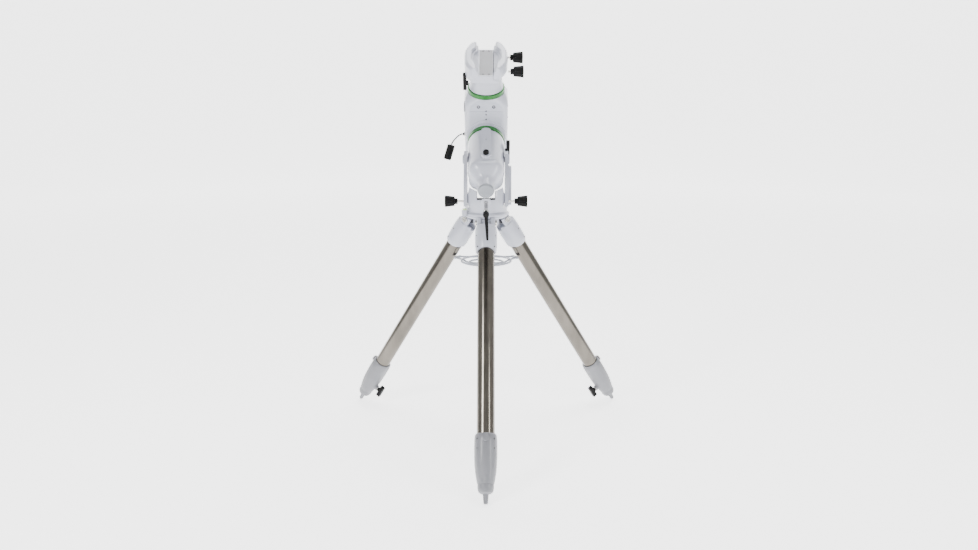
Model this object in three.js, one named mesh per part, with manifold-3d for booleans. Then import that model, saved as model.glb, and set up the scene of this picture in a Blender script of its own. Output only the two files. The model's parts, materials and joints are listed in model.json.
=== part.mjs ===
// German equatorial mount on a folding three-legged tripod. Millimetres, +Z up, ground at Z = 0.
// The mount is set for a latitude of 31 degrees, with its polar end towards the viewer at -Y.
import * as THREE from 'three';
import { mergeVertices } from 'three/addons/utils/BufferGeometryUtils.js';
import Module from 'manifold-3d';

const wasm = await Module();
wasm.setup();

// Driving dimensions
const GAP = 0.3;                  // between pieces that touch
const LATITUDE = THREE.MathUtils.degToRad(31);
const LEG_SPREAD = THREE.MathUtils.degToRad(33.85);
const LEG_TURNS = { front: 0, right: 120, left: -120 };
const HINGE_RADIUS = 60;          // leg pivot, from the azimuth axis
const HINGE_HEIGHT = 696;
const LEG_LENGTH = 838;           // pivot to foot tip
const TUBE_RADIUS = 25.4;
const INNER_TUBE_RADIUS = 22.6;
const CASTING_DROP = 101;         // pivot to the upper casting's lower edge
const CLAMP_TOP = -648;           // along the leg, from its pivot
const CLAMP_BOTTOM = -785;
const HEAD_TOP = 714;             // where the mount stands on the tripod
const TRAY_HEIGHT = 565;
const AXES_CROSS = [0, 167, 967]; // where the polar and declination axes meet
const ALTITUDE_PIVOT = -165;      // along the polar axis from the crossing
const CIRCLE_LOCK = -222;         // the ring's lock screw, along the polar axis
const RA_JOINT_LINE = -239;
const POLAR_END = -324;
const WHEEL_PLANE = -102;
const WHEEL_RADIUS = 35;
const CIRCLE_BORE = 32;           // clears the shaft as a setting circle turns
const BEARING_BORE = 25;          // clears the shaft's facets as it turns
const WORM_OFFSET = 41;
const SADDLE_BOTTOM = 218;
const SADDLE_LENGTH = 160;
const AZIMUTH_KNOB = { y: -20, z: 757 };
const VIAL_PLACE = [-66, -42];
const BOLT_START = [0, -64, 763];
const BOLT_TILT = Math.PI / 2 + 0.36; // the altitude bolt slopes down towards its lever
const SHIFT_Y = 127.98;           // sets the azimuth axis so that the origin is under the box's middle
const SHIFT_Z = 2.74;             // sets the tilted foot tips on the ground

const SMOOTH = 18;
const MEDIUM = 12;
const COARSE = 8;

const colours = {
  white: [0xe3e6f0, 0.35, 0.1],
  grey: [0x8f949c, 0.45, 0.2],
  steel: [0xb8b8b4, 0.18, 1.0],
  green: [0x2f8f3a, 0.3, 0.8],
  black: [0x0c0c0d, 0.5, 0.0],
  brass: [0xb58a3c, 0.3, 1.0],
  board: [0x1c5a34, 0.6, 0.0],
  glass: [0xa8c8b0, 0.05, 0.0],
};

const model = new THREE.Group();
model.position.set(0, SHIFT_Y, SHIFT_Z);

function addMesh(parent, name, geometry, colour) {
  const [color, roughness, metalness] = colours[colour];
  const mesh = new THREE.Mesh(geometry, new THREE.MeshStandardMaterial({ color, roughness, metalness }));
  mesh.name = name;
  parent.add(mesh);
  return mesh;
}

function addGroup(parent, position = [0, 0, 0], rotation = [0, 0, 0]) {
  const group = new THREE.Group();
  group.position.set(...position);
  group.rotation.set(...rotation);
  parent.add(group);
  return group;
}

// Solids along Z. Profiles list [radius, height] from bottom to top.
function lathe(points, segments = SMOOTH) {
  const outline = points.map(([r, z]) => new THREE.Vector2(r, z));
  return new THREE.LatheGeometry(outline, segments).rotateX(Math.PI / 2);
}

function turned(profile, segments = SMOOTH) {
  const first = profile[0];
  const last = profile[profile.length - 1];
  return lathe([[0, first[1]], ...profile, [0, last[1]]], segments);
}

function rod(radius, low, high, segments = MEDIUM) {
  return turned([[radius, low], [radius, high]], segments);
}

function tube(outer, inner, low, high, segments = MEDIUM) {
  return lathe([[inner, low], [outer, low], [outer, high], [inner, high], [inner, low]], segments);
}

function roundedOutline(width, depth, radius) {
  const x = width / 2;
  const y = depth / 2;
  const shape = new THREE.Shape();
  shape.moveTo(-x + radius, -y);
  shape.lineTo(x - radius, -y);
  shape.absarc(x - radius, -y + radius, radius, -Math.PI / 2, 0);
  shape.absarc(x - radius, y - radius, radius, 0, Math.PI / 2);
  shape.absarc(-x + radius, y - radius, radius, Math.PI / 2, Math.PI);
  shape.absarc(-x + radius, -y + radius, radius, Math.PI, 1.5 * Math.PI);
  return shape;
}

function block(width, depth, low, high, radius = 6) {
  const options = { depth: high - low, bevelEnabled: false, curveSegments: 3 };
  return new THREE.ExtrudeGeometry(roundedOutline(width, depth, radius), options).translate(0, 0, low);
}

// Outline in (Y, Z), extruded along X from -width / 2 to width / 2.
function sidePlate(points, width) {
  const shape = new THREE.Shape(points.map(([y, z]) => new THREE.Vector2(y, z)));
  const geometry = new THREE.ExtrudeGeometry(shape, { depth: width, bevelEnabled: false });
  return geometry.translate(0, 0, -width / 2).rotateY(Math.PI / 2).rotateX(Math.PI / 2);
}

function toSolid(geometry) {
  const plain = geometry.clone();
  plain.deleteAttribute('normal');
  plain.deleteAttribute('uv');
  const merged = mergeVertices(plain, 1e-4);
  return new wasm.Manifold(new wasm.Mesh({
    numProp: 3,
    vertProperties: new Float32Array(merged.attributes.position.array),
    triVerts: new Uint32Array(merged.index.array),
  }));
}

function toGeometry(solid) {
  const mesh = solid.getMesh();
  const geometry = new THREE.BufferGeometry();
  geometry.setAttribute('position', new THREE.BufferAttribute(mesh.vertProperties, 3));
  geometry.setIndex(new THREE.BufferAttribute(mesh.triVerts, 1));
  return geometry;
}

function combine(base, joined = [], cuts = []) {
  let solid = toSolid(base);
  for (const piece of joined) solid = solid.add(toSolid(piece));
  for (const piece of cuts) solid = solid.subtract(toSolid(piece));
  return toGeometry(solid);
}

// Knob along +Z: a flared grip on a narrow collar, with its threaded stem below.
function flaredKnob(stem, collar, grip) {
  return turned([
    [3.6, -stem], [3.6, 0], [collar, 0], [collar, 6], [grip * 0.82, 12], [grip, 38], [grip * 0.9, 40],
  ], MEDIUM);
}

function tripodHead() {
  const plate = turned([[58, 704], [66, 708], [66, HEAD_TOP]], SMOOTH);
  const hub = rod(40, 680, 705);
  const lugs = Object.values(LEG_TURNS).map((turn) => {
    const lug = new THREE.BoxGeometry(26, 36, 24).translate(0, -HINGE_RADIUS + 8, 694);
    return lug.rotateZ(THREE.MathUtils.degToRad(turn));
  });
  const holes = Object.values(LEG_TURNS).map((turn) => {
    const hole = rod(6, -40, 40, COARSE).rotateY(Math.PI / 2);
    return hole.translate(0, -HINGE_RADIUS, HINGE_HEIGHT).rotateZ(THREE.MathUtils.degToRad(turn));
  });
  return combine(plate, [hub, ...lugs], [...holes, rod(6.4, 670, 720)]);
}

function spreaderTray() {
  const ring = tube(78, 68, TRAY_HEIGHT - 3, TRAY_HEIGHT + 3, SMOOTH);
  const hub = rod(20, TRAY_HEIGHT - 5, TRAY_HEIGHT + 5);
  const arms = Object.values(LEG_TURNS).flatMap((turn) => {
    const angle = THREE.MathUtils.degToRad(turn);
    return [-1, 1].map((side) => {
      const arm = new THREE.BoxGeometry(7, 92, 6).translate(0, -62, TRAY_HEIGHT);
      return arm.rotateZ(side * 0.16).rotateZ(angle);
    });
  });
  const tips = Object.values(LEG_TURNS).map((turn) => {
    const tip = new THREE.BoxGeometry(40, 10, 8).translate(0, -107, TRAY_HEIGHT);
    return tip.rotateZ(THREE.MathUtils.degToRad(turn));
  });
  return combine(ring, [hub, ...arms, ...tips], [rod(6.4, 500, 600)]);
}

function legCasting() {
  const body = turned([[29, -CASTING_DROP], [33, -92], [33, -40], [30, -14]], SMOOTH);
  const ears = [-1, 1].map((side) => {
    return new THREE.BoxGeometry(14, 28, 30).translate(side * 21, 0, -9);
  });
  const bore = rod(TUBE_RADIUS + GAP, -120, -30, SMOOTH);
  const notch = new THREE.BoxGeometry(27.6, 80, 60).translate(0, 4, 4);
  const hole = rod(5.4, -40, 40, COARSE).rotateY(Math.PI / 2);
  return combine(body, ears, [bore, notch, hole]);
}

function legClamp() {
  const outside = turned([
    [24, CLAMP_BOTTOM], [29, -760], [32.2, -720], [32.6, -680], [32, -656], [30, CLAMP_TOP],
  ], SMOOTH);
  const screwBoss = rod(9, 24, 36).rotateX(-Math.PI / 2).translate(0, 0, -752);
  const cap = rod(10, 24, 37).rotateX(Math.PI / 2).translate(0, 0, -662);
  const tubeSeat = rod(TUBE_RADIUS + GAP, -735, -600, SMOOTH);
  const slideBore = rod(INNER_TUBE_RADIUS + GAP, -800, -700, SMOOTH);
  const screwHole = rod(4.2, 20, 60, COARSE).rotateX(-Math.PI / 2).translate(0, 0, -752);
  return combine(outside, [screwBoss, cap], [tubeSeat, slideBore, screwHole]);
}

// The foot and the inner tube that it is pressed on slide out together.
function legExtension() {
  const low = -LEG_LENGTH;
  const foot = turned([
    [5, low], [6, low + 4], [8, low + 24], [18, low + 27], [22.5, low + 36], [22.8, CLAMP_BOTTOM - GAP],
  ], SMOOTH);
  return combine(foot, [tube(INNER_TUBE_RADIUS, 20.4, CLAMP_BOTTOM - 2, -360, SMOOTH)]);
}

function clampKnob() {
  const stem = rod(3.8, 24, 46, COARSE);
  const grip = block(46, 13, 44, 58, 6);
  const collar = rod(7, 40, 46);
  return combine(stem, [collar, grip]).rotateX(-Math.PI / 2).translate(0, 0, -752);
}

function addLeg(name, turn) {
  const around = addGroup(model, [0, 0, 0], [0, 0, THREE.MathUtils.degToRad(turn)]);
  const leg = addGroup(around, [0, -HINGE_RADIUS, HINGE_HEIGHT], [-LEG_SPREAD, 0, 0]);
  addMesh(leg, `leg_casting_${name}`, legCasting(), 'white');
  addMesh(leg, `leg_hinge_bolt_${name}`, hingeBolt(), 'steel');
  addMesh(leg, `leg_outer_tube_${name}`, tube(TUBE_RADIUS, 23.4, -730, -31, SMOOTH), 'steel');
  addMesh(leg, `leg_clamp_${name}`, legClamp(), 'white');
  addMesh(leg, `leg_extension_${name}`, legExtension(), 'grey');
  addMesh(leg, `leg_clamp_knob_${name}`, clampKnob(), 'black');
}

function hingeBolt() {
  const profile = [[9, -34], [9, -28.4], [5, -28.4], [5, 28.4], [9, 28.4], [9, 34]];
  return turned(profile, COARSE).rotateY(Math.PI / 2);
}

function addTripod() {
  addMesh(model, 'tripod_head', tripodHead(), 'white');
  addMesh(model, 'tripod_centre_rod', rod(6, 420, 703), 'steel');
  addMesh(model, 'spreader_tray', spreaderTray(), 'grey');
  addMesh(model, 'tray_knob', tube(24, 6.4, TRAY_HEIGHT - 24, TRAY_HEIGHT - 5 - GAP), 'black');
  for (const [name, turn] of Object.entries(LEG_TURNS)) addLeg(name, turn);
}

// The azimuth base: a barrel-shaped foot with two fork arms that carry the polar axis housing.
function azimuthBase() {
  const low = HEAD_TOP + GAP;
  const foot = turned([[72, low], [73, low + 6], [66, low + 12], [69, 745], [70, 770], [68, 786]], SMOOTH);
  const armOutline = [
    [-62, 740], [60, 740], [58, 800], [52, 890], [44, 908], [26, 914], [8, 908], [-6, 890], [-36, 830], [-66, 786],
  ];
  const arms = [-1, 1].map((side) => sidePlate(armOutline, 11).translate(side * 63.5, 0, 0));
  const vialBoss = rod(9, low, 733, COARSE).translate(...VIAL_PLACE, 0);
  const well = new THREE.BoxGeometry(116, 200, 200).translate(0, 46, 840);
  const slot = new THREE.BoxGeometry(56, 60, 60).translate(0, -60, 802);
  const pivot = pivotPoint();
  const pivotHole = rod(10.4, -90, 90).rotateY(Math.PI / 2).translate(0, pivot.y, pivot.z);
  const knobHole = rod(4.4, -90, 90, COARSE).rotateY(Math.PI / 2).translate(0, AZIMUTH_KNOB.y, AZIMUTH_KNOB.z);
  const boltHole = rod(6.6, -30, 60).rotateX(BOLT_TILT).translate(...BOLT_START);
  return combine(foot, [...arms, vialBoss], [well, slot, pivotHole, knobHole, boltHole]);
}

function pivotPoint() {
  return {
    y: AXES_CROSS[1] + ALTITUDE_PIVOT * Math.cos(LATITUDE),
    z: AXES_CROSS[2] + ALTITUDE_PIVOT * Math.sin(LATITUDE),
  };
}

function addBase() {
  addMesh(model, 'azimuth_base', azimuthBase(), 'white');
  for (const [name, side] of [['left', -1], ['right', 1]]) {
    const turn = side * Math.PI / 2;
    const knob = flaredKnob(24, 9, 18).translate(0, 0, 88).rotateY(turn);
    addMesh(model, `azimuth_knob_${name}`, knob.translate(0, AZIMUTH_KNOB.y, AZIMUTH_KNOB.z), 'black');
    const pin = turned([[10, 50], [10, 69.3], [17, 69.3], [17, 75], [14, 78]]).rotateY(turn);
    const pivot = pivotPoint();
    addMesh(model, `altitude_pivot_bolt_${name}`, pin.translate(0, pivot.y, pivot.z), 'grey');
  }
  const bolt = turned([[6, -14], [6, 72], [9, 72], [9, 90]]).rotateX(BOLT_TILT).translate(...BOLT_START);
  const handle = new THREE.BoxGeometry(12, 8, 84).translate(0, -143, 696);
  addMesh(model, 'altitude_bolt', combine(bolt, [handle]), 'steel');
  const shell = combine(block(122, 60, 0, 9.4, 14), [], [block(110, 48, -1, 6.4, 8)]).rotateY(Math.PI / 2);
  addMesh(model, 'electronics_cover', shell.translate(69.3, 32, 801), 'white');
  const board = new THREE.BoxGeometry(2, 40, 96).translate(71.5, 32, 801);
  addMesh(model, 'control_board', board, 'board');
  addMesh(model, 'level_vial', rod(7, 733 + GAP, 738).translate(...VIAL_PLACE, 0), 'glass');
}

// Everything on the axes is drawn in a frame turned by the latitude:
// X across, Y along the polar axis, Z along the declination axis.
const axes = addGroup(model, AXES_CROSS, [LATITUDE, 0, 0]);
const ALONG_POLAR = -Math.PI / 2;   // turns a solid drawn along +Z to lie along +Y

function polarHousing() {
  const shell = turned([[54, RA_JOINT_LINE], [56, RA_JOINT_LINE + 6], [56.5, -150], [58.5, -84]], SMOOTH);
  const bore = rod(46, RA_JOINT_LINE - 5, -60, SMOOTH);
  const boss = block(30, 12, -234, -84.3, 5).translate(0, 57, 0);
  const pivotHole = rod(10.4, -90, 90).rotateY(Math.PI / 2).translate(0, 0, ALTITUDE_PIVOT);
  const screwHole = rod(4.3, 40, 80, COARSE).rotateX(-Math.PI / 2).translate(0, 0, CIRCLE_LOCK);
  const wormPocket = new THREE.BoxGeometry(52, 14, 17).translate(0, -41, WHEEL_PLANE);
  return combine(shell, [boss], [bore, pivotHole, screwHole, wormPocket]);
}

function wormScrew() {
  const profile = [[3, -24], [3, -14], [5, -14], [5, 14], [3, 14], [3, 24]];
  return turned(profile).rotateY(Math.PI / 2);
}

function rearCover() {
  const high = RA_JOINT_LINE - GAP;
  const shell = turned([[26, POLAR_END + 4], [31, -312], [46, -278], [53.5, -252], [53.5, high]], SMOOTH);
  return combine(shell, [], [turned([[22, -340], [22, -280], [44, -262], [44, -230]], SMOOTH)]);
}

function addPolarAxis() {
  const polar = addGroup(axes, [0, 0, 0], [ALONG_POLAR, 0, 0]);
  // In this group +Z runs along the polar axis and +Y points away from the declination ring.
  addMesh(polar, 'polar_axis_housing', polarHousing().rotateZ(Math.PI), 'white');
  addMesh(polar, 'polar_rear_cover', rearCover(), 'white');
  addMesh(polar, 'polar_scope_cap', turned([[24.5, POLAR_END - 6], [24.5, POLAR_END + 4 - GAP]]), 'grey');
  const scope = turned([[15, -316], [15, -250], [11, -240], [11, -140]]);
  addMesh(polar, 'polar_scope', scope, 'black');
  addMesh(polar, 'polar_axis_shaft', tube(24, 16, -230, -50, SMOOTH), 'steel');
  const wheel = tube(WHEEL_RADIUS, 24 + GAP, WHEEL_PLANE - 9, WHEEL_PLANE + 9, SMOOTH);
  addMesh(polar, 'polar_worm_wheel', wheel, 'brass');
  addMesh(polar, 'polar_motor', block(16, 16, -205, -142, 2).translate(0, 35, 0), 'black');
  addMesh(polar, 'polar_bearing_front', tube(45.6, BEARING_BORE, -135, -118, SMOOTH), 'steel');
  addMesh(polar, 'polar_setting_circle', tube(59.5, CIRCLE_BORE, -83.7, -66.3, SMOOTH), 'green');
}

function addPolarFittings() {
  addMesh(axes, 'polar_worm', wormScrew().translate(0, WHEEL_PLANE, -WORM_OFFSET), 'steel');
  const lever = combine(rod(8, 59.4, 65), [block(54, 15, 64, 72.5, 6).translate(-7, 0, 0)]);
  addMesh(axes, 'polar_clutch_lever', lever.rotateY(Math.PI / 2).translate(0, -106, -10), 'black');
  const screw = turned([[3.8, 48], [3.8, 63.5], [9, 63.5], [9, 72], [7.5, 73.5]]);
  addMesh(axes, 'circle_lock_screw', screw.translate(0, CIRCLE_LOCK, 0), 'black');
}

function declinationHousing() {
  const shell = block(138, 118, -88, 138, 18).translate(0, 10, 0);
  const collar = turned([[69, 100], [69, 138], [60, 146.7]]);
  const neckPlate = rod(57, -66, -40, SMOOTH).rotateX(ALONG_POLAR);
  const bore = rod(50, -60, 160, SMOOTH);
  const shaftWay = rod(30.5, -120, 20);
  const polarSeat = rod(24.6, -80, -10, SMOOTH).rotateX(ALONG_POLAR);
  return combine(shell, [collar.translate(0, 10, 0), neckPlate], [bore, shaftWay, polarSeat]);
}

function addDeclinationAxis() {
  addMesh(axes, 'declination_housing', declinationHousing(), 'white');
  addMesh(axes, 'declination_setting_circle', tube(58, CIRCLE_BORE, 147, 160, SMOOTH), 'green');
  addMesh(axes, 'declination_shaft', tube(24, 17, -84, 216, SMOOTH), 'steel');
  addMesh(axes, 'declination_worm_wheel', tube(44, 24 + GAP, 96, 116, SMOOTH), 'brass');
  addMesh(axes, 'declination_bearing_upper', tube(49.6, BEARING_BORE, 122, 140, SMOOTH), 'steel');
  const neck = lathe([[25, 160.3], [54, 160.3], [50, 176], [49, 217.7], [25, 217.7], [25, 160.3]]);
  addMesh(axes, 'saddle_neck', neck, 'white');
  const lever = combine(rod(8, 0, 6), [block(15, 54, 6, 15, 6).translate(0, -6, 0)]).rotateY(-Math.PI / 2);
  addMesh(axes, 'declination_clutch_lever', lever.translate(-54, -40, 196), 'black');
}

function saddleProfile() {
  return [[-66, 0], [40, 0], [40, 12], [22, 12], [22, 25], [-24, 25], [-30, 34], [-42, 40], [-42, 52], [-60, 52], [-66, 44]];
}

function jawProfile() {
  return [[22.3, 12.3], [64, 12.3], [67, 22], [67, 42], [60, 53], [42, 53], [42, 40], [30, 34], [22.3, 25]];
}

// Extruded along the polar direction from an outline in (X, height above the saddle's underside).
function saddlePiece(points) {
  const shape = new THREE.Shape(points.map(([x, z]) => new THREE.Vector2(x, z)));
  const options = { depth: SADDLE_LENGTH, bevelEnabled: false };
  const geometry = new THREE.ExtrudeGeometry(shape, options).rotateX(Math.PI / 2);
  return geometry.translate(0, SADDLE_LENGTH / 2, SADDLE_BOTTOM);
}

function addSaddle() {
  const knobPlaces = { upper: 42, lower: -42 };
  const screwHoles = Object.values(knobPlaces).map((y) => {
    return rod(4.2, 0, 90, COARSE).rotateY(Math.PI / 2).translate(0, y, SADDLE_BOTTOM + 18.5);
  });
  addMesh(axes, 'saddle_plate', saddlePiece(saddleProfile()), 'white');
  addMesh(axes, 'saddle_jaw', combine(saddlePiece(jawProfile()), [], screwHoles), 'white');
  for (const [name, y] of Object.entries(knobPlaces)) {
    const knob = flaredKnob(30, 9, 18).rotateY(Math.PI / 2);
    addMesh(axes, `saddle_knob_${name}`, knob.translate(74, y, SADDLE_BOTTOM + 18.5), 'black');
  }
}

function addCounterweightShaft() {
  addMesh(axes, 'counterweight_shaft', rod(9, -128, 120), 'steel');
  addMesh(axes, 'counterweight_stop', rod(17, -142, -128 - GAP), 'grey');
  const collar = lathe([[13, -120], [26, -120], [30, -88.3], [13, -88.3], [13, -120]]);
  addMesh(axes, 'shaft_lock_collar', collar, 'black');
}

// A short lead with an in-line cylinder hangs beside the declination housing.
const leadPoints = [
  [-77.6, 953], [-80.4, 952.3], [-83.2, 951.3], [-86, 950], [-88.7, 948.3], [-91.4, 946.2], [-94, 944], [-96.7, 941.4],
  [-99.4, 938.7], [-102, 936], [-104.5, 933], [-106.8, 930], [-109, 927], [-111.1, 923], [-113, 919],
];

function addLead() {
  const y = 150;
  const route = leadPoints.map(([x, z]) => new THREE.Vector3(x, y, z));
  const section = new THREE.Shape();
  section.absarc(0, 0, 2, 0, 2 * Math.PI);
  const lead = new THREE.ExtrudeGeometry(section, {
    steps: 10, curveSegments: 4, bevelEnabled: false, extrudePath: new THREE.CatmullRomCurve3(route),
  });
  addMesh(model, 'lead', lead, 'black');
  const gland = turned([[6, 70], [6, 73], [3, 76.7]], COARSE).rotateY(-Math.PI / 2);
  addMesh(model, 'lead_gland', gland.translate(0, y, 953), 'black');
  const lean = THREE.MathUtils.degToRad(17);
  const cylinder = turned([[11, -50], [12.5, -48], [12.5, -3], [11, -0.6]]).rotateY(lean);
  addMesh(model, 'lead_connector', cylinder.translate(-113.4, y, 918.2), 'black');
}

addTripod();
addBase();
addPolarAxis();
addPolarFittings();
addDeclinationAxis();
addSaddle();
addCounterweightShaft();
addLead();

export default model;
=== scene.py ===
import json
import math

import bmesh
import bpy
from mathutils import Matrix, Vector


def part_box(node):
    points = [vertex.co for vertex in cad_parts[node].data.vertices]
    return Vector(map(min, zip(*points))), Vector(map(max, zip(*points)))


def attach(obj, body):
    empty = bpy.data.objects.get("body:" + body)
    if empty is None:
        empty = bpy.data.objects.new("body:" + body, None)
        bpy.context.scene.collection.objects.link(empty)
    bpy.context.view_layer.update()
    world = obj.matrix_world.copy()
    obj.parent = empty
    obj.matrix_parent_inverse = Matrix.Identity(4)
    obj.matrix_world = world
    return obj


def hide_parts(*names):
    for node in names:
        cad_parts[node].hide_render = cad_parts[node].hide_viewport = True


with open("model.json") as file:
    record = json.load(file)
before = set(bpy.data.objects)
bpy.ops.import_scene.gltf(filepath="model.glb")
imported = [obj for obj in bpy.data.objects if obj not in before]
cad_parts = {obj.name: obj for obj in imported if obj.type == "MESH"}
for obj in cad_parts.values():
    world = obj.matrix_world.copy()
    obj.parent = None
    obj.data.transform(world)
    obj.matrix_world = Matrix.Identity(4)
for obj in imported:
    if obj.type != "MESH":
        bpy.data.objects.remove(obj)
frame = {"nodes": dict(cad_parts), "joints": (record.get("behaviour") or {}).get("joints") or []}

MM = 0.001
LEGS = ("front", "right", "left")

# A leg clamp's knob is this far down the leg from its pivot, and the outer tube sits in this radius.
CLAMP_KNOB = -752
TUBE_SEAT = 25.6

# Heights along the polar and declination axes, from where they cross, and the radius of the circles' bores.
ALTITUDE_PIVOT = -165
SADDLE_BOTTOM = 218
CIRCLE_BORE = 32

# The base: the radius of an arm's top, the vial, the knobs' distance and the room for the rear cover.
ARM_TOP = 26
VIAL_PLACE = (-66, -42, 0)
AZIMUTH_KNOB_REACH = 88
COVER_CLEARANCE = 6

# The lead, in metres, and how far its cylinder leans.
LEAD_RADIUS = 0.002
CONNECTOR_LEAN = math.radians(17)

# Swaps local Y and Z, so that an outline stands upright.
UPRIGHT = Matrix(((1, 0, 0, 0), (0, 0, 1, 0), (0, 1, 0, 0), (0, 0, 0, 1)))

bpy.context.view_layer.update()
JOINTS = {joint["name"]: joint for joint in frame["joints"]}


# ---------- places, from the frame's joints ----------

def placed(origin, across, up):
    """A matrix with local X along across and local Z along up, at origin."""
    z = Vector(up).normalized()
    x = Vector(across).normalized()
    y = z.cross(x)
    rotation = Matrix((x, y, z)).transposed().to_4x4()
    return Matrix.Translation(Vector(origin)) @ rotation


def joint_place(name):
    return Vector(JOINTS[name]["pos_m"])


def joint_axis(name):
    return Vector(JOINTS[name]["axis"]).normalized()


X_AXIS = Vector((1, 0, 0))
AZIMUTH = placed((0, joint_place("azimuth_turn").y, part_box("azimuth_base")[0][2]), X_AXIS, (0, 0, 1))
# Local Y runs along the polar axis and local Z along the declination axis.
AXES = placed(joint_place("polar_axis_turn"), X_AXIS, joint_axis("declination_turn"))
# Local Z runs along the polar axis and local Y away from the declination ring.
POLAR = AXES @ Matrix.Rotation(-math.pi / 2, 4, "X")


def leg_place(name):
    """At a leg's pivot: local Z runs up the leg and local Y towards the middle of the tripod."""
    down = joint_axis(f"leg_extend_{name}")
    pivot = joint_place(f"leg_fold_{name}")
    outward = Vector((down.x, down.y, 0)).normalized()
    across = Vector((-outward.y, outward.x, 0))
    return placed(pivot, across, -down)


# ---------- camera, light and floor ----------

CAMERA_LENS = 30.94
CAMERA_BACK = 2.611
CAMERA_SIDE = 0.009
CAMERA_HEIGHT = 1.118
CAMERA_DOWN = math.radians(12.89)

# The floor's round wall, and how far its pale part reaches sideways for each metre back.
FLOOR_RADIUS = 7
WALL_BEND = 3
WALL_HEIGHT = 13
PALE_SLOPE = 0.66
PALE_REACH = 2.3
PALE_FADE = 2.0


def make_camera():
    camera = bpy.data.objects.new("camera", bpy.data.cameras.new("camera"))
    camera.data.lens = CAMERA_LENS
    camera.data.clip_end = 50
    camera.location = (CAMERA_SIDE, joint_place("azimuth_turn").y - CAMERA_BACK, CAMERA_HEIGHT)
    camera.rotation_euler = (math.pi / 2 - CAMERA_DOWN, 0, 0)
    bpy.context.collection.objects.link(camera)
    bpy.context.scene.camera = camera


def make_light(name, place, target, size, power):
    light = bpy.data.objects.new(name, bpy.data.lights.new(name, "AREA"))
    light.data.shape = "RECTANGLE"
    light.data.size, light.data.size_y = size
    light.data.energy = power
    light.location = place
    direction = Vector(target) - Vector(place)
    light.rotation_euler = direction.to_track_quat("-Z", "Y").to_euler()
    bpy.context.collection.objects.link(light)


def floor_material():
    """Pale in front of the camera and behind the mount, and greyer towards the sides and back."""
    material = bpy.data.materials.new("floor")
    material.use_nodes = True
    nodes, links = material.node_tree.nodes, material.node_tree.links
    shader = nodes["Principled BSDF"]
    shader.inputs["Roughness"].default_value = 0.95
    shader.inputs["Specular IOR Level"].default_value = 0.1
    shader.inputs["Emission Color"].default_value = (1, 1, 1, 1)
    place = nodes.new("ShaderNodeTexCoord")
    split = nodes.new("ShaderNodeSeparateXYZ")
    links.new(place.outputs["Object"], split.inputs["Vector"])
    sideways = nodes.new("ShaderNodeMath")
    sideways.operation = "ABSOLUTE"
    links.new(split.outputs["X"], sideways.inputs[0])
    reach = nodes.new("ShaderNodeMath")
    reach.operation = "MULTIPLY_ADD"
    reach.inputs[1].default_value = PALE_SLOPE
    reach.inputs[2].default_value = PALE_REACH
    links.new(split.outputs["Y"], reach.inputs[0])
    inside = nodes.new("ShaderNodeMath")
    inside.operation = "SUBTRACT"
    links.new(reach.outputs["Value"], inside.inputs[0])
    links.new(sideways.outputs["Value"], inside.inputs[1])
    for target, dark, pale in (("Emission Strength", 0.35, 2.3), ("Base Color", 0.4, 0.95)):
        spread = nodes.new("ShaderNodeMapRange")
        spread.interpolation_type = "SMOOTHSTEP"
        spread.inputs["From Min"].default_value = -PALE_FADE
        spread.inputs["From Max"].default_value = 0.0
        spread.inputs["To Min"].default_value = dark
        spread.inputs["To Max"].default_value = pale
        links.new(inside.outputs["Value"], spread.inputs["Value"])
        links.new(spread.outputs["Result"], shader.inputs[target])
    return material


def make_studio():
    world = bpy.data.worlds.new("studio")
    world.use_nodes = True
    background = world.node_tree.nodes["Background"]
    background.inputs["Color"].default_value = (1, 1, 1, 1)
    background.inputs["Strength"].default_value = 0.16
    bpy.context.scene.world = world
    middle = (0, 0, 0.8)
    make_light("key", (-2.6, -2.2, 2.6), middle, (0.9, 1.4), 90)
    make_light("fill", (2.6, -1.9, 1.5), middle, (0.35, 2.0), 42)
    make_light("top", (0.3, 0.6, 3.2), middle, (1.4, 1.4), 60)
    make_light("low", (-0.8, -3.0, 0.5), (0, 0, 0.3), (0.25, 1.2), 14)
    make_floor()


def make_floor():
    """A round floor that curves up into a wall."""
    bends, around = 12, 96
    outline = [(0.01, 0), (FLOOR_RADIUS, 0)]
    for step in range(1, bends + 1):
        angle = math.pi / 2 * step / bends
        outline.append((FLOOR_RADIUS + WALL_BEND * math.sin(angle), WALL_BEND - WALL_BEND * math.cos(angle)))
    outline.append((FLOOR_RADIUS + WALL_BEND, WALL_HEIGHT))
    corners = []
    for radius, height in outline:
        for k in range(around):
            angle = 2 * math.pi * k / around
            corners.append((radius * math.cos(angle), radius * math.sin(angle), height))
    faces = [tuple(range(around))]
    for row in range(len(outline) - 1):
        for k in range(around):
            n = (k + 1) % around
            low, high = row * around, (row + 1) * around
            faces.append((low + k, low + n, high + n, high + k))
    mesh = bpy.data.meshes.new("floor")
    mesh.from_pydata(corners, [], faces)
    for polygon in mesh.polygons:
        polygon.use_smooth = True
    floor = bpy.data.objects.new("floor", mesh)
    bpy.context.collection.objects.link(floor)
    mesh.materials.append(floor_material())


# ---------- materials ----------

BUMP_DEPTH = 0.0003
FINE_GRAIN = 18


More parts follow.
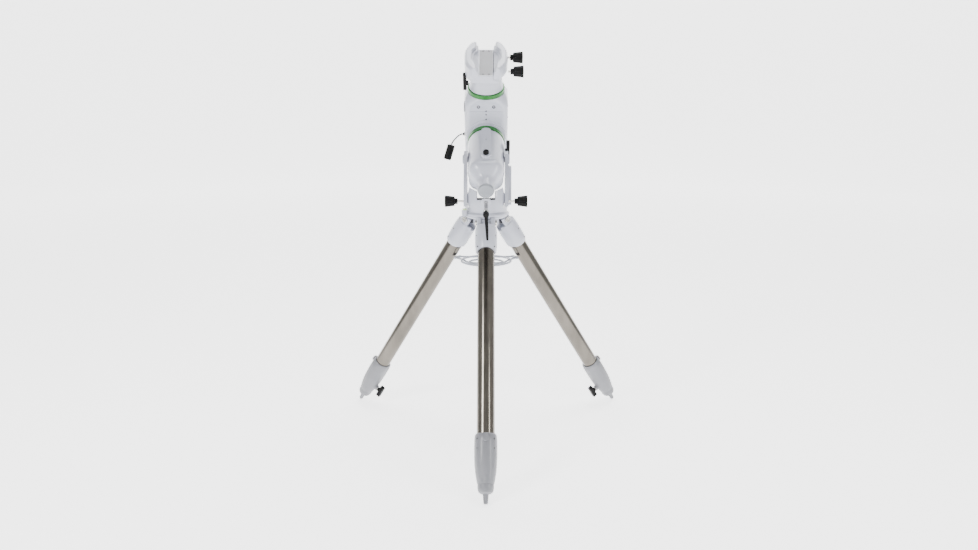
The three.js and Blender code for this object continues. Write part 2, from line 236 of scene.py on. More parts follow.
def surface(name, colours, roughness, metallic=0.0, grain=60, stretch=(1, 1, 1), bump=0.15, coat=0.0,
            shine=0.5):
    """A procedural finish: two close colours mixed by noise, uneven roughness and a fine bump."""
    material = bpy.data.materials.new(name)
    material.use_nodes = True
    nodes, links = material.node_tree.nodes, material.node_tree.links
    shader = nodes["Principled BSDF"]
    shader.inputs["Metallic"].default_value = metallic
    shader.inputs["Specular IOR Level"].default_value = shine
    shader.inputs["Coat Weight"].default_value = coat
    shader.inputs["Coat Roughness"].default_value = 0.12
    place = nodes.new("ShaderNodeTexCoord")
    mapping = nodes.new("ShaderNodeMapping")
    mapping.inputs["Scale"].default_value = stretch
    links.new(place.outputs["Object"], mapping.inputs["Vector"])
    wide = nodes.new("ShaderNodeTexNoise")
    wide.inputs["Scale"].default_value = grain
    wide.inputs["Detail"].default_value = 4
    fine = nodes.new("ShaderNodeTexNoise")
    fine.inputs["Scale"].default_value = grain * FINE_GRAIN
    fine.inputs["Detail"].default_value = 3
    for noise in (wide, fine):
        links.new(mapping.outputs["Vector"], noise.inputs["Vector"])
    ramp = nodes.new("ShaderNodeValToRGB")
    ramp.color_ramp.elements[0].position = 0.3
    ramp.color_ramp.elements[1].position = 0.7
    for element, colour in zip(ramp.color_ramp.elements, colours):
        element.color = (*colour, 1)
    links.new(wide.outputs["Fac"], ramp.inputs["Fac"])
    links.new(ramp.outputs["Color"], shader.inputs["Base Color"])
    rough = nodes.new("ShaderNodeMapRange")
    rough.inputs["To Min"].default_value = roughness * 0.8
    rough.inputs["To Max"].default_value = min(1, roughness * 1.25)
    links.new(wide.outputs["Fac"], rough.inputs["Value"])
    links.new(rough.outputs["Result"], shader.inputs["Roughness"])
    relief = nodes.new("ShaderNodeBump")
    relief.inputs["Strength"].default_value = bump
    relief.inputs["Distance"].default_value = BUMP_DEPTH
    links.new(fine.outputs["Fac"], relief.inputs["Height"])
    links.new(relief.outputs["Normal"], shader.inputs["Normal"])
    return material


def make_materials():
    """Every finish by its short name. Each has a darker and a lighter colour that are mixed."""
    return {
        "white": surface("white_enamel", ((0.42, 0.435, 0.50), (0.49, 0.505, 0.57)), 0.3,
                         grain=14, bump=0.12, coat=0.5),
        # painted shade: a darker copy of the white enamel, for the leg clamps, the legs' inner tubes and feet,
        # and the saddle channel's floor
        "pale": surface("shaded_enamel", ((0.155, 0.158, 0.172), (0.19, 0.193, 0.21)), 0.4,
                        grain=18, bump=0.2, coat=0.2),
        "grey": surface("grey_enamel", ((0.20, 0.215, 0.24), (0.25, 0.265, 0.29)), 0.42, grain=22, bump=0.2),
        "tray": surface("tray_enamel", ((0.30, 0.315, 0.36), (0.38, 0.395, 0.44)), 0.38, grain=22, bump=0.2),
        "steel": surface("polished_steel", ((0.12, 0.11, 0.095), (0.165, 0.15, 0.13)), 0.16, 1.0,
                         grain=26, stretch=(1, 1, 0.08), bump=0.1),
        "bright": surface("bright_steel", ((0.58, 0.57, 0.54), (0.70, 0.69, 0.66)), 0.2, 1.0,
                          grain=90, bump=0.12),
        "dark": surface("dark_screws", ((0.05, 0.05, 0.055), (0.10, 0.10, 0.11)), 0.35, 0.8, grain=160),
        "green": surface("green_anodised", ((0.006, 0.10, 0.01), (0.01, 0.15, 0.018)), 0.3, 0.4,
                         grain=50, bump=0.1),
        "black": surface("black_plastic", ((0.002, 0.002, 0.0022), (0.006, 0.006, 0.0065)), 0.5,
                         grain=120, bump=0.35, shine=0.12),
        # painted shadow: a near-black finish for the sheets that stand for the shade inside gaps
        "shade_black": surface("painted_gap_shadow", ((0.004, 0.004, 0.004), (0.008, 0.008, 0.008)), 0.8, grain=80),
        "brass": surface("machined_brass", ((0.55, 0.38, 0.14), (0.68, 0.49, 0.2)), 0.3, 1.0, grain=90),
        "board": surface("circuit_board", ((0.02, 0.16, 0.06), (0.03, 0.24, 0.09)), 0.45, grain=220),
        "vial": surface("vial_glass", ((0.45, 0.62, 0.30), (0.55, 0.72, 0.38)), 0.08, grain=40, coat=1.0),
    }


FINISH = make_materials()
WHITE = FINISH["white"]
PALE = FINISH["pale"]
BLACK = FINISH["black"]
BRIGHT = FINISH["bright"]


# ---------- mesh making ----------

def softened(piece, width, segments=3, angle=35):
    """Rounds the edges that are sharper than angle, in degrees."""
    edge = piece.modifiers.new("edges", "BEVEL")
    edge.width = width * MM
    edge.segments = segments
    edge.limit_method = "ANGLE"
    edge.angle_limit = math.radians(angle)
    edge.harden_normals = True
    return piece


def new_piece(name, mesh, matrix, material, bevel=0.0, segments=3):
    mesh.transform(Matrix.Scale(MM, 4))
    mesh.transform(matrix)
    piece = bpy.data.objects.new(name, mesh)
    bpy.context.collection.objects.link(piece)
    mesh.materials.append(material)
    for polygon in mesh.polygons:
        polygon.use_smooth = True
    if bevel:
        softened(piece, bevel, segments, 28)
    return piece


def closed_mesh(form, name):
    """The mesh of a closed form, with its faces turned outwards."""
    bmesh.ops.recalc_face_normals(form, faces=form.faces)
    mesh = bpy.data.meshes.new(name)
    form.to_mesh(mesh)
    form.free()
    return mesh


def applied(piece):
    """Writes a piece's modifiers into its mesh."""
    depsgraph = bpy.context.evaluated_depsgraph_get()
    mesh = bpy.data.meshes.new_from_object(piece.evaluated_get(depsgraph))
    piece.modifiers.clear()
    piece.data = mesh
    return piece


def joined(piece, *others, cut=False):
    """Adds or cuts other pieces with exact booleans."""
    for other in others:
        step = piece.modifiers.new("join", "BOOLEAN")
        step.operation = "DIFFERENCE" if cut else "UNION"
        step.solver = "EXACT"
        step.object = other
    applied(piece)
    for other in others:
        bpy.data.objects.remove(other)
    return piece


def turned(name, profile, matrix, material, bevel=0.6, steps=72, flutes=0, flute_depth=0.0):
    """A solid of revolution about local Z. The profile lists (radius, height), and may start on the axis."""
    form = bmesh.new()
    rings = []
    for radius, height in profile:
        if radius < 1e-6:
            rings.append([form.verts.new((0, 0, height))])
            continue
        row = []
        for k in range(steps):
            angle = 2 * math.pi * k / steps
            reach = radius * (1 - flute_depth * max(0.0, math.cos(flutes * angle)) ** 2)
            row.append(form.verts.new((reach * math.cos(angle), reach * math.sin(angle), height)))
        rings.append(row)
    for low, high in zip(rings, rings[1:]):
        for k in range(steps):
            n = (k + 1) % steps
            if len(low) == 1:
                form.faces.new((low[0], high[n], high[k]))
            elif len(high) == 1:
                form.faces.new((low[k], low[n], high[0]))
            else:
                form.faces.new((low[k], low[n], high[n], high[k]))
    if len(rings[0]) > 1:
        form.faces.new(reversed(rings[0]))
    if len(rings[-1]) > 1:
        form.faces.new(rings[-1])
    return new_piece(name, closed_mesh(form, name), matrix, material, bevel)


def ring(name, outer, inner, low, high, matrix, material, bevel=0.5, steps=72):
    """An open tube about local Z."""
    body = turned(name, [(outer, low), (outer, high)], matrix, material, 0, steps)
    hole = turned(name + "_cut", [(inner, low - 5), (inner, high + 5)], matrix, material, 0, steps)
    return softened(joined(body, hole, cut=True), bevel, 2)


def loft(name, sections, matrix, material, bevel=0.0, segments=3):
    """A skin through outlines of equal point counts, each given as (outline, height)."""
    form = bmesh.new()
    rows = [[form.verts.new((x, y, height)) for x, y in outline] for outline, height in sections]
    for low, high in zip(rows, rows[1:]):
        for k in range(len(low)):
            n = (k + 1) % len(low)
            form.faces.new((low[k], low[n], high[n], high[k]))
    form.faces.new(reversed(rows[0]))
    form.faces.new(rows[-1])
    return new_piece(name, closed_mesh(form, name), matrix, material, bevel, segments)


def prism(name, outline, low, high, matrix, material, bevel=1.5, segments=3):
    """An outline in local X and Y, extruded along local Z."""
    return loft(name, [(outline, low), (outline, high)], matrix, material, bevel, segments)


def rounded(width, depth, radius, centre=(0, 0), steps=8):
    """The outline of a rectangle with round corners."""
    points = []
    corners = ((1, -1, -90), (1, 1, 0), (-1, 1, 90), (-1, -1, 180))
    for sx, sy, start in corners:
        for k in range(steps + 1):
            angle = math.radians(start + 90 * k / steps)
            x = centre[0] + sx * (width / 2 - radius) + radius * math.cos(angle)
            y = centre[1] + sy * (depth / 2 - radius) + radius * math.sin(angle)
            points.append((x, y))
    return points


def moved(matrix, place=(0, 0, 0), axis=None, angle=0.0):
    """A matrix shifted by place in millimetres, then turned."""
    shift = Matrix.Translation(Vector(place) * MM)
    turn = Matrix.Rotation(math.radians(angle), 4, axis) if axis else Matrix.Identity(4)
    return matrix @ shift @ turn


def stands_for(piece, body, slot, *nodes):
    """Sets what a piece moves with and hides the CAD nodes it stands for. The slot argument is not used."""
    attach(piece, body)
    if nodes:
        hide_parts(*nodes)


def screw(name, matrix, body, radius):
    """A socket-head screw that stands a little proud of local Z = 0."""
    profile = [(radius, -1.5), (radius, 0.7), (radius * 0.55, 0.9), (radius * 0.5, -0.6), (0, -0.6)]
    stands_for(turned(name, profile, matrix, FINISH["dark"], 0.1, 24), body, "steel")


# ---------- the lead and its in-line cylinder ----------

def make_lead():
    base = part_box("lead_gland")
    y = (base[0][1] + base[1][1]) / 2
    z = (base[0][2] + base[1][2]) / 2
    route = [(-77.6, 953), (-80.4, 952.3), (-83.2, 951.3), (-86, 950), (-88.7, 948.3), (-91.4, 946.2),
             (-94, 944), (-96.7, 941.4), (-99.4, 938.7), (-102, 936), (-104.5, 933), (-106.8, 930),
             (-109, 927), (-111.1, 923), (-113, 919)]
    points = [(x * MM, y, z + (height - route[0][1]) * MM) for x, height in route]
    curve = bpy.data.curves.new("lead_cord", "CURVE")
    curve.dimensions = "3D"
    curve.bevel_depth = LEAD_RADIUS
    curve.bevel_resolution = 6
    curve.use_fill_caps = True
    spline = curve.splines.new("POLY")
    spline.points.add(len(points) - 1)
    for point, place in zip(spline.points, points):
        point.co = (*place, 1)
    curve.materials.append(BLACK)
    cord = bpy.data.objects.new("lead_cord", curve)
    bpy.context.collection.objects.link(cord)
    gland = make_gland(y, z)
    body = make_connector(Vector(points[-1]))
    stands_for(cord, "polar_axis", "black", "lead")


def make_gland(y, z):
    """The strain relief where the lead leaves the housing."""
    outward = placed((0, y, z), (0, 1, 0), (-1, 0, 0))
    profile = [(6, 70), (6, 72.4), (4.4, 73), (4.0, 73.8), (4.2, 74.4), (3.2, 75.2), (3.4, 75.8), (2.6, 76.7)]
    gland = turned("lead_strain_relief", profile, outward, BLACK, 0.2, 40)
    stands_for(gland, "polar_axis", "black", "lead_gland")
    return gland


def make_connector(end):
    """The in-line cylinder at the lead's end, with a grip of fine flutes."""
    lean = Matrix.Translation(end) @ Matrix.Rotation(CONNECTOR_LEAN, 4, "Y")
    profile = [(5, -0.8), (9, -1), (12.2, -3), (12.3, -8), (11.6, -9), (12.3, -10), (12.3, -47), (10.5, -50),
               (3, -50)]
    body = turned("lead_cylinder", profile, lean, BLACK, 0.4, 72, 24, 0.03)
    stands_for(body, "polar_axis", "black", "lead_connector")
    return body


make_camera()
make_lead()
make_studio()


# ---------- tripod ----------

def make_leg_casting(name, place):
    """The socket at a leg's top, with an ear on each side of the hinge lug."""
    profile = [(29.4, -101), (31.4, -98), (33.6, -80), (34, -50), (33.4, -30), (31, -16)]
    casting = turned(f"leg_socket_{name}", profile, place, WHITE, 0)
    ears = []
    for side in (-1, 1):
        outline = rounded(14, 30, 5, (21 * side, 0))
        ears.append(prism(f"ear_{name}_{side}", outline, -30, 9, place, WHITE, 0))
    joined(casting, *ears)
    notch = prism("notch", rounded(27.6, 64, 3, (0, 18)), -26, 34, place, WHITE, 0)
    bore = turned("bore", [(TUBE_SEAT, -120), (TUBE_SEAT, -32)], place, WHITE, 0)
    arch = turned("arch", [(46, -60), (46, 60)], moved(place, (0, 0, -137), "X", 90), WHITE, 0)
    joined(casting, notch, bore, arch, cut=True)
    stands_for(softened(casting, 1.2), f"leg_{name}", "white", f"leg_casting_{name}")


def make_leg_clamp(name, place):
    """The clamp at the outer tube's end, with a cap on its outer side and the knob's boss on its inner side."""
    profile = [(23.4, -785), (24.2, -783), (26.4, -772), (29.2, -755), (31.2, -735), (32.3, -710),
               (32.6, -685), (32.2, -664), (31, -652), (28.5, -648.2)]
    # The white clamp is drawn in the darker copy of the white enamel: painted shade.
    clamp = turned(f"leg_clamp_shell_{name}", profile, place, PALE, 0)
    outward = moved(place, (0, 0, -662), "X", 90)
    inward = moved(place, (0, 0, CLAMP_KNOB), "X", -90)
    cap = turned("cap", [(10, 24), (10, 35.5), (8.8, 36.8)], outward, PALE, 0, 48)
    boss = turned("boss", [(10, 20), (9, 35.5)], inward, PALE, 0, 48)
    joined(clamp, cap, boss)
    seat = turned("seat", [(TUBE_SEAT, -735), (TUBE_SEAT, -600)], place, PALE, 0)
    way = turned("way", [(22.9, -800), (22.9, -720)], place, PALE, 0)
    hole = turned("hole", [(4.2, 15), (4.2, 60)], inward, PALE, 0, 32)
    band = ring("band", 40, 31, -742.6, -741.4, place, PALE, 0)
    joined(clamp, seat, way, hole, cut=True)
    joined(clamp, band, cut=True)
    stands_for(softened(clamp, 1.0), f"leg_{name}", "white", f"leg_clamp_{name}")


def make_leg_screws(kind, name, place, spots, reach, size):
    """Screws around a leg, each given as (angle, height)."""
    for k, (angle, height) in enumerate(spots):
        turn = moved(place, (0, 0, height), "Z", angle)
        screw(f"{kind}_screw_{name}_{k}", moved(turn, (0, -reach, 0), "X", 90), f"leg_{name}", size)


def make_leg_extension(name, place):
    """The inner tube with its foot."""
    profile = [(0, -838), (5, -838), (6.6, -834), (8.2, -815), (8.8, -812.5), (14, -811), (19.5, -807),
               (22, -801), (22.9, -794), (22.9, -785.4), (22.6, -785.2), (22.6, -362),
               (20.4, -360), (0, -360)]
    # The inner tube and foot take the darker copy of the white enamel: painted shade.
    foot = turned(f"leg_foot_piece_{name}", profile, place, PALE, 0.5)
    stands_for(foot, f"leg_extension_{name}", "grey", f"leg_extension_{name}")


def make_leg_knob(name, place):
    grip = moved(place, (0, 0, CLAMP_KNOB), "X", -90)
    body = f"leg_clamp_knob_{name}"
    knob = prism(f"leg_knob_{name}", rounded(14, 46, 6.5), 45, 58, grip, BLACK, 0)
    collar = turned("collar", [(8, 39.5), (6.6, 42), (8, 46)], grip, BLACK, 0, 40)
    joined(knob, collar)
    stands_for(softened(knob, 1.8, 4), body, "black", body)
    stem = turned(f"leg_knob_stem_{name}", [(3.8, 24), (3.8, 40)], grip, BRIGHT, 0.3, 32)
    stands_for(stem, body, "steel")


def make_hinge_bolt(name, place):
    profile = [(0, -32), (4, -32), (4.6, -33.8), (8.2, -33.8), (9, -32.6), (9, -28.4), (5, -28.4),
               (5, 28.4), (9, 28.4), (9, 32.6), (8.2, 33.8), (4.6, 33.8), (4, 32), (0, 32)]
    bolt = turned(f"leg_pivot_{name}", profile, moved(place, (0, 0, 0), "Y", 90), BRIGHT, 0.3, 48)
    stands_for(bolt, f"leg_{name}", "steel", f"leg_hinge_bolt_{name}")


def make_leg(name):
    place = leg_place(name)
    make_leg_casting(name, place)
    tube = ring(f"leg_tube_{name}", 25.4, 23.4, -730, -34, place, FINISH["steel"], 0.3, 96)
    stands_for(tube, f"leg_{name}", "steel", f"leg_outer_tube_{name}")
    make_leg_clamp(name, place)
    make_leg_screws("clamp", name, place, ((-48, -664), (48, -664), (-48, -690), (48, -690)), 32.2, 2.4)
    make_leg_screws("casting", name, place, ((-60, -50), (60, -50), (-50, -88), (50, -88)), 33.8, 2.2)
    make_leg_extension(name, place)
    make_leg_knob(name, place)
    make_hinge_bolt(name, place)


def tray_loop(name, angle, place):
    """One curved loop of the spreader tray, as a round bar."""
    curve = bpy.data.curves.new(name, "CURVE")
    curve.dimensions = "3D"
    curve.bevel_depth = 3.0 * MM
    curve.bevel_resolution = 5
    spline = curve.splines.new("BEZIER")
    outline = [(-12, -104), (-26, -70), (-52, -30), (-40, 6), (0, 18), (40, 6), (52, -30), (26, -70),
               (12, -104)]
    spline.bezier_points.add(len(outline) - 1)
    turn = Matrix.Rotation(math.radians(angle), 4, "Z")
    for point, (x, y) in zip(spline.bezier_points, outline):
        point.co = place @ (turn @ (Vector((x, y, 0)) * MM))
        point.handle_left_type = point.handle_right_type = "AUTO"
    curve.use_fill_caps = True
    loop = bpy.data.objects.new(name, curve)
    bpy.context.collection.objects.link(loop)
    curve.materials.append(FINISH["tray"])
    return loop


def make_tray():
    height = (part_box("spreader_tray")[0][2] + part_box("spreader_tray")[1][2]) / 2
    centre = placed((0, joint_place("azimuth_turn").y, height), X_AXIS, (0, 0, 1))
    rim = ring("tray_rim", 81, 75, -3, 3, centre, FINISH["tray"], 1.6, 96)
    stands_for(rim, "tray", "grey", "spreader_tray")
    stands_for(ring("tray_hub", 20, 6.6, -5, 5, centre, FINISH["tray"], 1.5), "tray", "grey")
    for name, angle in zip(LEGS, (0, 120, -120)):
        stands_for(tray_loop(f"tray_loop_{name}", angle, centre), "tray", "grey")
        pad = prism(f"tray_pad_{name}", rounded(34, 9, 3, (0, -107)), -3.5, 3.5,
                    moved(centre, (0, 0, 0), "Z", angle), FINISH["tray"], 1.2)
        stands_for(pad, "tray", "grey")
    profile = [(6.8, -24), (15, -24), (24, -20), (24, -8), (18, -5.6), (6.8, -5.6)]
    knob = turned("tray_nut", profile, centre, BLACK, 0.8, 96, 8, 0.08)
    stands_for(knob, "tray_knob", "black", "tray_knob")


def make_head():
    """The tripod's head, just under the azimuth base."""
    profile = [(6.4, -34), (38, -34), (40, -32), (40, -10), (57, -10), (62, -8), (65, -5.5), (66, -4),
               (66, -1), (65, 0), (6.4, 0)]
    plate = turned("head_plate", profile, moved(AZIMUTH, (0, 0, -0.3)), WHITE, 0.4, 96)
    stands_for(plate, "tripod", "white", "tripod_head")


def make_hinge_lug(name):
    """The head's lug that a leg folds on. The front one is white, and the others are dark."""
    place = leg_place(name)
    bracket = placed(place.translation, place.to_3x3().col[0], (0, 0, 1))
    facing = bracket.to_3x3().col[1].dot(place.translation - AZIMUTH.translation)
    inward = 1 if facing < 0 else -1
    finish = WHITE if name == "front" else FINISH["dark"]
    lug = prism(f"hinge_lug_{name}", rounded(26, 32, 4, (0, inward * 8)), -13, 9.6, bracket, finish, 0)
    stands_for(softened(lug, 0.8), "tripod", "steel")


def make_tripod():
    make_tray()
    make_head()
    for name in LEGS:
        make_leg(name)
        make_hinge_lug(name)


# ---------- base ----------

def knob_piece(name, matrix, body, node, stem):
    """A fluted black knob on a bright stem."""
    profile = [(7.5, 0), (9, 1), (9, 8.6), (13, 9.4), (14.8, 11), (18, 37), (17.2, 39.6), (13, 40), (12, 39),
               (0, 39)]
    grip = turned(name, profile, matrix, BLACK, 0.5, 120, 10, 0.10)
    stands_for(grip, body, "black", node)
    shaft = turned(name + "_stem", [(3.9, -stem), (3.9, 0.5)], matrix, BRIGHT, 0.4, 40)
    stands_for(shaft, body, "steel")


def bolt_frame():
    """Local Z runs along the altitude bolt."""
    return placed(joint_place("altitude_bolt_turn"), X_AXIS, joint_axis("altitude_bolt_turn"))


def rear_cover_sections(clearance):
    """The rear cover's sections along the polar axis: a rounded square that narrows to the scope's cap."""
    stages = ((104, 30, -239.6), (106, 31, -245), (104, 33, -254), (96, 35, -264), (82, 34, -273),
              (68, 31, -281), (58, 28, -289), (54, 27, -298), (52, 26, -320))
    sections = []
    for size, corner, height in stages:
        outline = rounded(size + clearance, size + clearance, corner + clearance / 2)
        sections.append((outline, height))
    return sections


def arm_outline():
    """An arm from the side, with a round top about the altitude pivot."""
    y = (joint_place("altitude_tilt").y - joint_place("azimuth_turn").y) / MM
    z = (joint_place("altitude_tilt").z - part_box("azimuth_base")[0][2]) / MM
    outline = [(-52, 30), (58, 26), (56, 86), (y + ARM_TOP, z - 6)]
    for k in range(9):
        angle = math.radians(k * 22.5)
        outline.append((y + ARM_TOP * math.cos(angle), z + ARM_TOP * math.sin(angle)))
    return outline + [(-10, 150), (-26, 124), (-44, 100)]


def base_form():
    """The barrel with its two arms and its bosses."""
    profile = [(71, 0.0), (72.6, 1.5), (72.6, 6), (70, 8), (66, 12), (66.5, 20), (69.6, 34), (71, 50),
               (70.6, 66), (68.5, 84), (65, 100), (60, 112)]
    foot = turned("base_barrel", profile, AZIMUTH, WHITE, 0, 96)
    outline = arm_outline()
    side_on = AZIMUTH @ Matrix(((0, 0, 1, 0), (1, 0, 0, 0), (0, 1, 0, 0), (0, 0, 0, 1)))
    arms = [prism(f"arm_{k}", outline, x, x + 11, side_on, WHITE, 0) for k, x in enumerate((-69, 58))]
    boss = turned("front_boss", [(17, -12), (15, 8), (11.5, 10)], bolt_frame(), WHITE, 0, 48)
    vial_at = moved(AZIMUTH, VIAL_PLACE)
    vial_boss = turned("vial_boss", [(9, 0), (9, 16.7), (8.6, 18.3)], vial_at, WHITE, 0, 48)
    return joined(foot, *arms, boss, vial_boss)


def make_azimuth_base():
    foot = base_form()
    well = prism("well", rounded(115.4, 180, 6, (0, 46)), 26, 300, AZIMUTH, WHITE, 0)
    slot = prism("slot", rounded(55, 60, 3, (0, -72)), 57, 300, AZIMUTH, WHITE, 0)
    swept = loft("swept", rear_cover_sections(COVER_CLEARANCE), POLAR, WHITE)
    barrel = turned("barrel", [(57.7, -240), (57.7, -60)], POLAR, WHITE, 0)
    tilted = POLAR.copy()
    tilted.translation = tilted.translation + Vector((0, 0, -0.008))
    lower = loft("lower", rear_cover_sections(COVER_CLEARANCE), tilted, WHITE)
    bolt_hole = turned("bolt_hole", [(6.6, -30), (6.6, 60)], bolt_frame(), WHITE, 0, 48)
    joined(foot, well, slot, swept, barrel, lower, bolt_hole, cut=True)
    stands_for(softened(foot, 2.2, 4), "azimuth", "white", "azimuth_base")
    # A dark sheet along the slot's edges: painted shadow of the gap between the scope's cap and the front wall.
    shadow_outline = [(-28.2, 53.6), (28.2, 53.6), (28.2, 82), (27, 82), (27, 57.2), (-27, 57.2),
               (-27, 82), (-28.2, 82)]
    shadow_sheet = prism("slot_shadow_piece", shadow_outline, -70.4, -54, AZIMUTH @ UPRIGHT, FINISH["shade_black"], 0.4)
    stands_for(shadow_sheet, "azimuth", "black")
    vial_at = moved(AZIMUTH, VIAL_PLACE)
    vial = turned("vial", [(7, 19), (7, 22.6), (6, 23.7)], vial_at, FINISH["vial"], 0.4, 40)
    stands_for(vial, "azimuth", "glass", "level_vial")


def make_base_side(name, side):
    """One side's azimuth knob and altitude pivot."""
    axis = placed(joint_place(f"azimuth_knob_{name}_turn"), (0, side, 0), (side, 0, 0))
    reach = moved(axis, (0, 0, AZIMUTH_KNOB_REACH))
    knob_piece(f"azimuth_grip_{name}", reach, f"azimuth_knob_{name}", f"azimuth_knob_{name}", 24)
    pivot = placed(joint_place("altitude_tilt"), (0, side, 0), (side, 0, 0))
    profile = [(10, 50), (10, 69.3), (14, 69.3), (14.6, 70), (14.6, 71.6), (12.6, 73.4), (7, 73.8), (6, 71.4),
               (0, 71.4)]
    pin = turned(f"altitude_pin_{name}", profile, pivot, WHITE, 0.5, 72)
    stands_for(pin, "azimuth", "grey", f"altitude_pivot_bolt_{name}")


def make_altitude_bolt():
    """The bolt, its hub and the bar that hangs from it."""
    profile = [(6, 0), (6, 60), (8.6, 61), (8.8, 72), (7, 74)]
    shaft = turned("altitude_screw", profile, bolt_frame(), BRIGHT, 0.5, 56)
    stands_for(shaft, "altitude_bolt", "steel", "altitude_bolt")
    hub = turned("altitude_lever_hub", [(7, 73), (9, 74), (9, 88), (6, 90)], bolt_frame(), BLACK, 0.8, 56)
    stands_for(hub, "altitude_bolt", "black")
    low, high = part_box("altitude_bolt")
    hang = placed((0, low[1] + 0.011, 0), X_AXIS, (0, 0, 1))
    top = high[2] / MM - 34
    bottom = low[2] / MM + 2
    shape = [(-6, top), (6, top), (7.5, bottom + 28), (7.5, bottom), (1, bottom)]
    lever = prism("altitude_handle", shape, -4, 4, hang @ UPRIGHT, BLACK, 2.2, 4)
    stands_for(lever, "altitude_bolt", "black")


def make_electronics():
    """The side cover over the control board, with six grooves."""
    low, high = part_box("electronics_cover")
    outward = placed((low[0], (low[1] + high[1]) / 2, (low[2] + high[2]) / 2), (0, 0, -1), (1, 0, 0))
    tall = (high[2] - low[2]) / MM
    wide = (high[1] - low[1]) / MM
    cover = prism("electronics_shell", rounded(tall, wide, 14), 0, 9.4, outward, WHITE, 0)
    recess = prism("recess", rounded(tall - 12, wide - 12, 8), -2, 6.4, outward, WHITE, 0)
    grooves = []
    for k in range(6):
        outline = rounded(3, wide - 20, 1.4, (12 + 7 * k, 0))
        grooves.append(prism(f"rib_{k}", outline, 8.2, 12, outward, WHITE, 0))
    joined(cover, recess, *grooves, cut=True)
    stands_for(softened(cover, 1.8, 4), "azimuth", "white", "electronics_cover")


def make_base():
    make_azimuth_base()
    make_base_side("left", -1)
    make_base_side("right", 1)
    make_altitude_bolt()
    make_electronics()


# ---------- polar axis ----------

def make_polar_shell(lock):
    """The housing's barrel, with a rib that carries the circle's lock screw."""
    profile = [(54, -239), (55.5, -237), (56, -230), (56.4, -170), (57.4, -120), (58.6, -92), (57.6, -86),
               (56, -84.2)]
    shell = turned("polar_shell", profile, POLAR, WHITE, 0, 96)
    rib_outline = rounded(30, -lock - 70, 14, (0, (lock - 98.4) / 2))
    joined(shell, prism("rib", rib_outline, 48, 63, AXES, WHITE, 0))
    bore = turned("bore", [(46, -250), (46, -60)], POLAR, WHITE, 0)
    across = moved(AXES, (0, ALTITUDE_PIVOT, 0), "Y", 90)
    pins = turned("pins", [(10.4, -90), (10.4, 90)], across, WHITE, 0, 48)
    hole = turned("hole", [(4.3, 40), (4.3, 90)], moved(AXES, (0, lock, 0)), WHITE, 0, 32)
    joined(shell, bore, pins, hole, cut=True)
    stands_for(softened(shell, 2.0, 4), "polar_housing", "white", "polar_axis_housing")


def make_rear_cover():
    cover = loft("rear_shell", rear_cover_sections(0), POLAR, WHITE)
    inside = turned("inside", [(22, -330), (22, -280), (44, -262), (44, -230)], POLAR, WHITE, 0)
    joined(cover, inside, cut=True)
    stands_for(softened(cover, 1.4, 4), "polar_housing", "white", "polar_rear_cover")
    profile = [(0, -329.2), (21.5, -329.2), (23.8, -328), (24.5, -326), (24.5, -320.4)]
    cap = turned("scope_cap", profile, POLAR, FINISH["grey"], 0.5, 96, 40, 0.02)
    stands_for(cap, "polar_scope_cap", "grey", "polar_scope_cap")


def make_polar_clutch():
    """The clutch lever on the housing's side."""
    place = placed(joint_place("polar_clutch_turn"), (0, *(-joint_axis("declination_turn"))[1:]), (1, 0, 0))
    outline = [(-34, -9), (20, -6.5), (24, -3), (24, 3), (20, 6.5), (-34, 9), (-38, 5), (-38, -5)]
    lever = prism("polar_lever", outline, 3.6, 15, place, BLACK, 2.4, 4)
    stands_for(lever, "polar_clutch_lever", "black", "polar_clutch_lever")
    hub = turned("polar_lever_hub", [(8, -0.5), (8, 5)], place, BLACK, 0.6, 48)
    stands_for(hub, "polar_clutch_lever", "black")


def make_polar():
    lock = (AXES.inverted() @ joint_place("circle_lock_turn")).y / MM
    make_polar_shell(lock)
    make_rear_cover()
    circle = ring("polar_circle", 59.5, CIRCLE_BORE, -83.7, -66.3, POLAR, FINISH["green"], 1.2, 144)
    stands_for(circle, "polar_setting_circle", "green", "polar_setting_circle")
    make_polar_clutch()
    profile = [(3.8, 52), (3.8, 63.6), (8.2, 63.6), (9, 64.6), (9, 71.6), (7.6, 73.4), (5, 73.4), (4.4, 72.2),
               (0, 72.2)]
    lock_screw = turned("circle_screw", profile, moved(AXES, (0, lock, 0)), BLACK, 0.3, 96, 18, 0.06)
    stands_for(lock_screw, "circle_lock_screw", "black", "circle_lock_screw")
    pointer = prism("pointer", [(-2.4, -150), (2.4, -150), (0, -140)], 62, 64, AXES, FINISH["tray"], 0.4)
    stands_for(pointer, "polar_housing", "white")


# ---------- declination axis ----------

def make_declination_housing():
    """A rounded box that turns into a cylinder at its upper end, with a nose around the polar axis."""
    stages = ((118, 98, 16, 10, -88), (132, 112, 19, 10, -80), (138, 118, 20, 10, -66),
              (138, 118, 20, 10, 112), (136, 117, 24, 9, 122), (128, 115, 40, 5, 136),
              (118, 117, 57, 0, 146.6))
    sections = []
    for wide, deep, corner, middle, height in stages:
        sections.append((rounded(wide, deep, corner, (0, middle), 12), height))
    body = loft("declination_shell", sections, AXES, WHITE)
    nose = turned("nose", [(57, -66), (57, -40)], POLAR, WHITE, 0, 96)
    collar = turned("collar", [(62, -54), (66, -46), (66, -40)], POLAR, WHITE, 0, 96)
    joined(body, nose, collar)
    groove = prism("groove", rounded(150, 12, 1, (0, -54)), 98, 99.4, AXES, WHITE, 0)
    spare = prism("spare", rounded(136, 20, 19, (0, -38)), 96, 102, AXES, WHITE, 0)
    joined(groove, spare, cut=True)
    joined(body, groove, cut=True)
    stands_for(softened(body, 1.0), "polar_axis", "white", "declination_housing")


